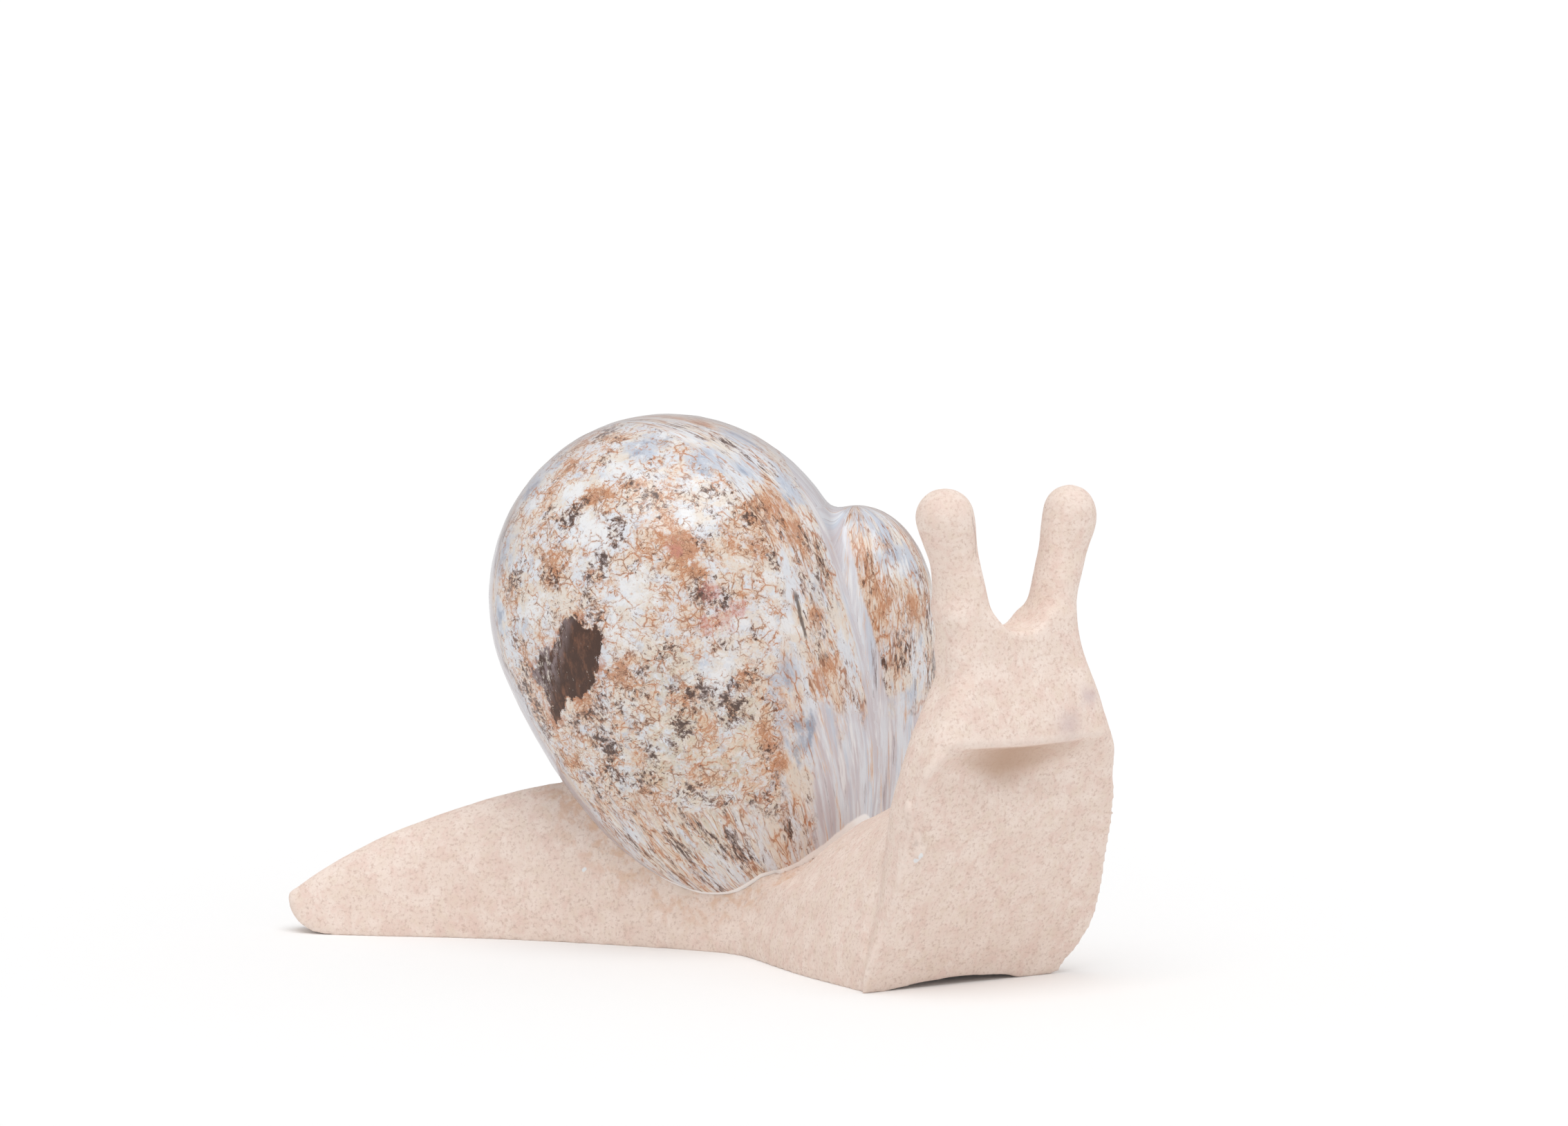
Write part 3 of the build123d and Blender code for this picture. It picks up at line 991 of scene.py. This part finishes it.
def streaks(m, place, marks):
    """Long runs of white, lilac and grey blue, with rusty and brown ones where it is hot."""
    loose = m.warp(place, size=5.0, amount=2.0)
    tone = m.noise(loose, size=2.6, rough=0.66)
    colour = m.blend(m.step(tone, 0.4, 0.6), LILAC, COOL_WHITE)
    blue = m.noise(loose, size=2.6, detail=5.0, rough=0.6, shift=31)
    colour = m.tint(colour, GREY_BLUE, blue, 0.54, 0.68, strength=0.7)
    hot = m.plus(m.times(marks["heat"], 0.07), m.times(marks["rust"], 0.04))
    rusty = m.plus(m.noise(loose, size=1.8, rough=0.68, shift=57), hot)
    colour = m.tint(colour, PALE_ORANGE, rusty, 0.56, 0.66, strength=0.7)
    colour = m.tint(colour, RUST, rusty, 0.63, 0.72, strength=0.75)
    brown = m.noise(loose, size=1.5, rough=0.68, shift=83)
    brown = m.plus(brown, m.times(marks["heat"], 0.03))
    colour = m.tint(colour, MAUVE, brown, 0.58, 0.68, strength=0.7)
    colour = m.tint(colour, DARK_BROWN, brown, 0.67, 0.74, strength=0.8)
    white = m.noise(loose, size=2.0, detail=5.0, rough=0.6, shift=15)
    return m.tint(colour, PEARL, white, 0.55, 0.66, strength=0.8)


def glaze_ground(m, ragged):
    """A mosaic on the open faces that is drawn out and then runs into streaks."""
    marks = {name: m.attribute(name) for name in ("cloud", "white", "rust", "dark", "sand", "heat")}
    marks["cool"] = m.math("MAXIMUM", marks["cloud"], marks["white"])
    flow = m.attribute("flow", "Vector")
    still = mosaic(m, m.place, marks)
    drawn = mosaic(m, m.scaled(flow, DRAWN_STRETCH), marks)
    ran = streaks(m, m.scaled(flow, RAN_STRETCH), marks)
    streak = m.plus(m.attribute("streak"), m.times(ragged, 0.7))
    colour = m.blend(m.step(streak, 0.25, 0.42), still, drawn)
    return m.blend(m.step(streak, 0.55, 0.78), colour, ran)


def pink_stains(m, colour):
    """Pink stains with ragged edges."""
    ragged = m.minus(m.noise(m.place, size=1.2, rough=0.75), 0.5)
    pink = m.plus(m.attribute("pink"), m.times(ragged, 2.6))
    return m.tint(colour, PINK, pink, 0.45, 1.1, strength=0.6)


def patch_ground(m):
    """The dark body under the glaze, paler and mottled where the patch runs out."""
    tail = m.attribute("patch_tail")
    runs = m.scaled(m.place, PATCH_STRETCH)
    rusty = m.noise(runs, size=1.4, rough=0.7)
    ground = m.tint(CHOCOLATE, DEEP_RUST, rusty, 0.46, 0.72, strength=0.7)
    mottled = m.step(m.noise(runs, size=1.1, rough=0.7), 0.4, 0.6)
    ground = m.wash(ground, MAUVE, m.times(tail, mottled), strength=0.8)
    flecks = m.noise(runs, size=0.7, rough=0.78, shift=6)
    flecks = m.plus(flecks, m.times(tail, 0.09))
    return m.tint(ground, CREAM, flecks, 0.62, 0.7, strength=0.8)


def bare_patch(m, colour):
    """The colour with the bare patch and its rusty fringe, and where that patch is."""
    torn = m.warp(m.scaled(m.place, TORN_STRETCH), size=1.5, amount=1.0)
    torn = m.minus(m.noise(torn, size=1.2, rough=0.72), 0.5)
    patch = m.plus(m.attribute("patch"), m.times(torn, 5.0))
    broken = m.step(m.noise(m.place, size=2.2, detail=4.0, rough=0.6), 0.42, 0.56)
    colour = m.wash(colour, RUST, m.times(m.step(patch, -1.3, 0.1), broken), strength=0.8)
    bare = m.step(patch, 0.0, 0.3)
    return m.blend(bare, colour, patch_ground(m)), bare


def glaze_material():
    """Glossy, mottled glaze with a white rim and one bare patch."""
    m = Shades("mottled_glaze")
    ragged = m.minus(m.noise(m.place, size=4.0, detail=4.0, rough=0.6), 0.5)
    colour = glaze_ground(m, ragged)
    # painted reflection: mauve grey where the shell turns away from the view
    colour = m.wash(colour, MAUVE, m.attribute("painted_limb_reflection"), strength=0.55)
    colour = pink_stains(m, colour)
    colour = m.wash(colour, DARK_BROWN, m.line(VEIN, width=0.45), strength=0.8)
    colour, bare = bare_patch(m, colour)
    rim = m.plus(m.attribute("rim"), m.times(ragged, 0.6))
    m.feed(m.shader.inputs["Base Color"], m.blend(m.step(rim, 0.35, 0.65), colour, POOL_WHITE))
    gloss = m.step(m.noise(m.place, size=2.0, detail=4.0), 0.3, 0.75)
    rough = m.plus(m.times(gloss, 0.12), m.times(bare, 0.35))
    m.feed(m.shader.inputs["Roughness"], m.plus(rough, 0.1))
    waves = m.noise(m.warp(m.place, size=1.5, amount=1.0), size=1.4, detail=3.0, rough=0.5)
    m.bump(waves, strength=0.35, distance=0.1)
    return m.material


def clay_clouds(m, pink, drag, speck):
    """Cloudy light clay with pink and beige stains, traces of a sponge, and speckles."""
    loose = m.warp(m.place, size=4.0, amount=3.0)
    tone = m.noise(loose, size=5.0, detail=5.0, rough=0.6)
    colour = m.blend(m.step(tone, 0.42, 0.6), CLAY_MIDDLE, CLAY_LIGHT)
    colour = m.tint(colour, CLAY_PINK, pink, 0.44, 0.66, strength=0.7)
    beige = m.noise(loose, size=2.6, detail=5.0, rough=0.65, shift=41)
    colour = m.tint(colour, CLAY_BEIGE, beige, 0.46, 0.68, strength=0.55)
    colour = m.tint(colour, CLAY_PINK, drag, 0.54, 0.68, strength=0.35)
    return m.tint(colour, CLAY_SPECK, speck, 0.48, 0.7, strength=0.6)


def clay_dots(m):
    """1 on small round dots, which stand in loose groups."""
    dots = m.step(m.cells(m.warp(m.place, size=1.0, amount=0.5), 2.4, "F1"), 0.13, 0.05)
    groups = m.step(m.noise(m.place, size=3.5, detail=1.0, shift=8), 0.5, 0.56)
    return m.times(dots, groups)


def clay_marks(m, colour, pink, dots):
    """The colour with painted shade under the brow, dots, worn edges, stains and chips."""
    # painted shade under the brow, darkening the clay towards CLAY_SHADE
    colour = m.wash(colour, CLAY_SHADE, m.attribute("shade"), strength=0.85)
    colour = m.wash(colour, CLAY_DOT, dots, strength=0.3)
    colour = m.tint(colour, CLAY_LIGHT, m.attribute("wear"), 0.06, 0.3, strength=0.5)
    stain = m.times(m.attribute("flush"), m.step(pink, 0.45, 0.65))
    colour = m.wash(colour, PALE_ORANGE, stain, strength=0.6)
    colour = m.wash(colour, CLAY_SMUDGE, m.attribute("smudge"), strength=0.6)
    colour = m.wash(colour, CLAY_DOT, m.line(HAIRLINE, width=0.14), strength=0.45)
    return m.blend(m.step(m.attribute("chip"), 0.3, 0.6), colour, PEARL)


def clay_material(name):
    """Bare fired clay: cloudy, speckled and matt, with pinholes and grains."""
    m = Shades(name)
    pink = m.noise(m.warp(m.place, size=4.0, amount=3.0), size=3.2, detail=5.0, rough=0.65, shift=23)
    dragged = m.scaled(m.warp(m.place, size=3.0, amount=1.0), DRAG_STRETCH)
    drag = m.noise(dragged, size=1.4, detail=4.0, rough=0.6)
    speck = m.noise(m.place, size=0.6, detail=4.0, rough=0.65, shift=3)
    dots = clay_dots(m)
    colour = clay_marks(m, clay_clouds(m, pink, drag, speck), pink, dots)
    m.feed(m.shader.inputs["Base Color"], colour)
    m.feed(m.shader.inputs["Roughness"], m.plus(m.times(speck, 0.15), 0.72))
    grain = m.noise(m.place, size=0.45, detail=3.0, rough=0.6)
    grain = m.plus(grain, m.times(m.noise(m.place, size=1.6, detail=3.0), 1.4))
    grain = m.minus(grain, m.times(dots, 0.8))
    m.bump(m.plus(grain, m.times(drag, 0.7)), strength=0.5, distance=0.15)
    return m.material


# The figurine: the skins shaped one after the other, then parted and dressed

glaze = glaze_skin()
shell_surface = surface_of(glaze)
skin = clay_skin(shell_surface)
sink_saddle(skin)
sink_rim(skin, shell_surface)
draw_out(skin)
shape_brow(skin)
rough_up(skin)
press_rim(skin, shell_surface)
shade_smooth(skin)
skin_surface = surface_of(skin)
open_glaze(glaze, skin_surface)
shade_smooth(glaze)
dress_glaze(glaze, skin_surface)
thicken(glaze, COAT_SHARE * GLAZE_THICKNESS)
clay_pieces = part_clay(skin)
dress_clay(clay_pieces, skin, skin_surface, surface_of(glaze))
bpy.data.objects.remove(skin)

bare_clay = clay_material("bare_clay")
for piece, node in zip(clay_pieces, ("body", "left_eye_stalk", "right_eye_stalk")):
    piece.data.materials.clear()
    piece.data.materials.append(bare_clay)
    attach(piece, "root")
    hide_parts(node)

glaze.data.materials.clear()
glaze.data.materials.append(glaze_material())
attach(glaze, "root")
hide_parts("glaze_coat")

nodes["shell"].data.materials.clear()
nodes["shell"].data.materials.append(clay_material("shell_clay"))


# Floor, light and camera

FLOOR_SIZE = 60
FLOOR_TONE = (0.92, 0.92, 0.92, 1)
FLOOR_GLOW = 0.018
WORLD_LIGHT = 0.68
WORLD_SEEN = 1.05
SENSOR_WIDTH = 36
FOCAL_LENGTH = 132.22
EYE_PLACE = (0.49967, -0.91566, 0.16390)
EYE_DOWN = math.radians(5.0992)
CLIP_NEAR, CLIP_FAR = 0.05, 100


def floor():
    """A white table top that keeps the shadow."""
    bpy.ops.mesh.primitive_plane_add(size=FLOOR_SIZE)
    plane = bpy.context.object
    plane.name = "floor"
    material = bpy.data.materials.new("floor_white")
    material.use_nodes = True
    tree = material.node_tree
    tree.nodes.clear()
    output = tree.nodes.new("ShaderNodeOutputMaterial")
    diffuse = tree.nodes.new("ShaderNodeBsdfDiffuse")
    diffuse.inputs["Color"].default_value = FLOOR_TONE
    glow = tree.nodes.new("ShaderNodeEmission")
    path = tree.nodes.new("ShaderNodeLightPath")
    strength = tree.nodes.new("ShaderNodeMath")
    strength.operation = "MULTIPLY"
    strength.inputs[1].default_value = FLOOR_GLOW
    both = tree.nodes.new("ShaderNodeAddShader")
    tree.links.new(path.outputs["Is Camera Ray"], strength.inputs[0])
    tree.links.new(strength.outputs[0], glow.inputs["Strength"])
    tree.links.new(diffuse.outputs[0], both.inputs[0])
    tree.links.new(glow.outputs[0], both.inputs[1])
    tree.links.new(both.outputs[0], output.inputs["Surface"])
    plane.data.materials.append(material)


def sun(name, direction, spread, strength):
    """A far lamp without falloff that shines along direction; spread in degrees."""
    data = bpy.data.lights.new(name, "SUN")
    data.angle = math.radians(spread)
    data.energy = strength
    lamp = bpy.data.objects.new(name, data)
    lamp.rotation_mode = "QUATERNION"
    lamp.rotation_quaternion = Vector(direction).to_track_quat("-Z", "Y")
    bpy.context.scene.collection.objects.link(lamp)


def world():
    """Even white surroundings, plain white where the camera looks."""
    surroundings = bpy.data.worlds.new("studio")
    surroundings.use_nodes = True
    tree = surroundings.node_tree
    sky = tree.nodes["Background"]
    sky.inputs["Color"].default_value = (1, 1, 1, 1)
    path = tree.nodes.new("ShaderNodeLightPath")
    strength = tree.nodes.new("ShaderNodeMapRange")
    strength.inputs["To Min"].default_value = WORLD_LIGHT
    strength.inputs["To Max"].default_value = WORLD_SEEN
    tree.links.new(path.outputs["Is Camera Ray"], strength.inputs["Value"])
    tree.links.new(strength.outputs["Result"], sky.inputs["Strength"])
    bpy.context.scene.world = surroundings


def camera():
    """The camera that was fitted to the photo."""
    data = bpy.data.cameras.new("photo_view")
    data.sensor_width = SENSOR_WIDTH
    data.lens = FOCAL_LENGTH
    data.clip_start = CLIP_NEAR
    data.clip_end = CLIP_FAR
    eye = bpy.data.objects.new("photo_view", data)
    eye.location = EYE_PLACE
    eye.rotation_euler = (math.pi / 2 - EYE_DOWN, 0, VIEW_TURN)
    bpy.context.scene.collection.objects.link(eye)
    bpy.context.scene.camera = eye


floor()
sun("key", direction=(-0.36, 0.52, -1.45), spread=50, strength=1.36)
world()
camera()
bpy.context.scene.view_settings.view_transform = "Standard"
